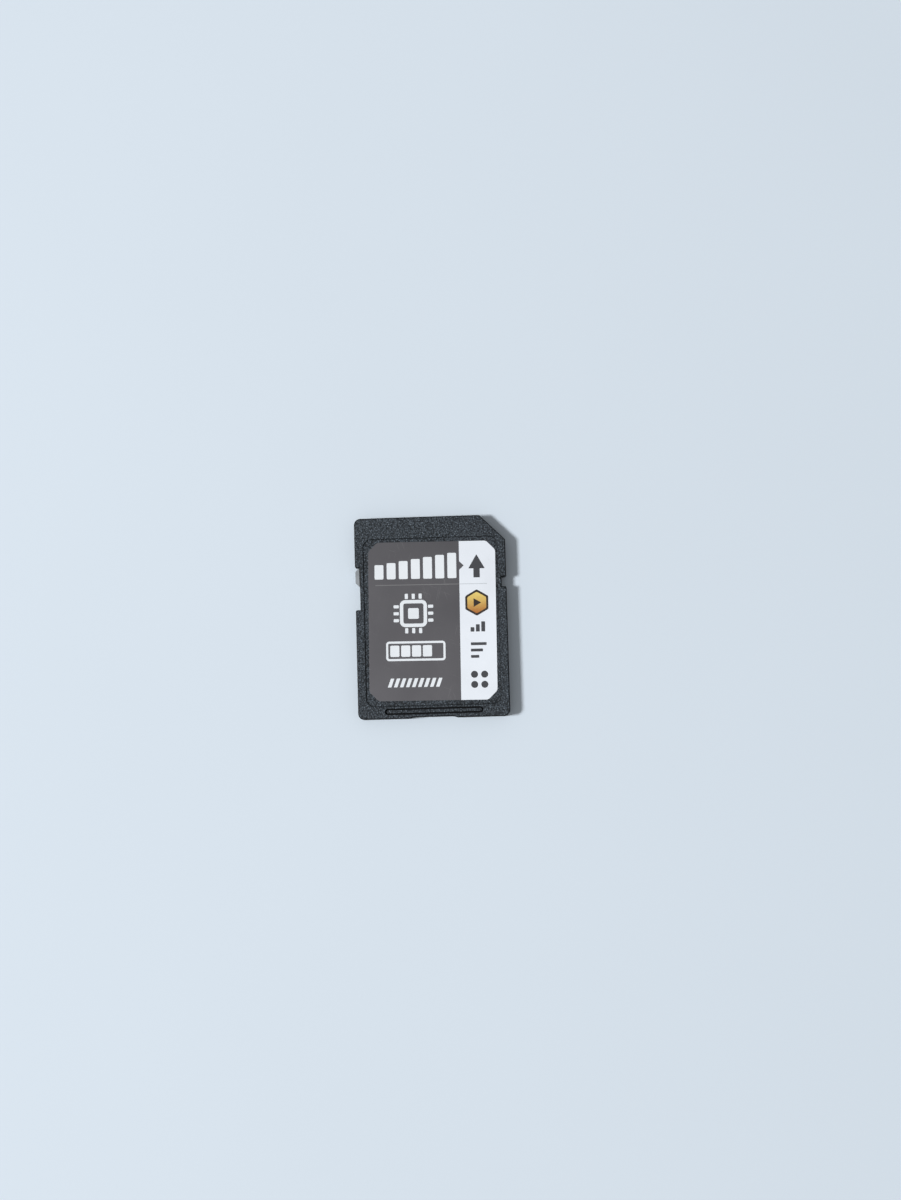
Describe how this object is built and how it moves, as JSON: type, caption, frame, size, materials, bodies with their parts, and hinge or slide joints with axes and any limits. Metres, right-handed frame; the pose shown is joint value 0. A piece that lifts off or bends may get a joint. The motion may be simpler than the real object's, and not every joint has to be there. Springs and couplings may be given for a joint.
{
  "type": "memory card",
  "caption": "Thin rectangular memory card with a cut corner, a sunk label, a sliding write lock in one edge and gold contacts in windows on the underside.",
  "frame": {"origin": "middle of the underside, on the surface the card lies on", "axes": "+X towards the side with the cut corner, +Y towards the contact end that goes into a slot first, +Z out of the label"},
  "size_m": [0.024, 0.032, 0.0021],
  "materials": {
    "cover_plastic": "black, fine spark-eroded grain",
    "slider_plastic": "pale grey, smooth",
    "label_film": "printed film, satin",
    "board_laminate": "green solder mask",
    "contact_gold": "gold plate",
    "package_resin": "black moulding resin",
    "capacitor_ceramic": "tan ceramic with tinned ends",
    "resistor_ceramic": "black ceramic with tinned ends"
  },
  "bodies": {
    "card": {"top_cover": "cover_plastic", "bottom_cover": "cover_plastic", "front_label": "label_film", "circuit_board": "board_laminate", "flash_chip": "package_resin", "controller_chip": "package_resin", "contact_pad_1": "contact_gold", "contact_pad_2": "contact_gold", "contact_pad_3": "contact_gold", "contact_pad_4": "contact_gold", "contact_pad_5": "contact_gold", "contact_pad_6": "contact_gold", "contact_pad_7": "contact_gold", "contact_pad_8": "contact_gold", "contact_pad_9": "contact_gold", "capacitor_1": "capacitor_ceramic", "capacitor_2": "capacitor_ceramic", "capacitor_3": "capacitor_ceramic", "capacitor_4": "capacitor_ceramic", "capacitor_5": "capacitor_ceramic", "capacitor_6": "capacitor_ceramic", "resistor_1": "resistor_ceramic", "resistor_2": "resistor_ceramic", "resistor_3": "resistor_ceramic", "resistor_4": "resistor_ceramic"},
    "lock": {"lock_slider": "slider_plastic"}
  },
  "joints": [
    {"name": "lock_slide", "type": "slide", "parent": "card", "child": "lock", "axis": [0, -1, 0], "range_m": [0, 0.0037]}
  ]
}
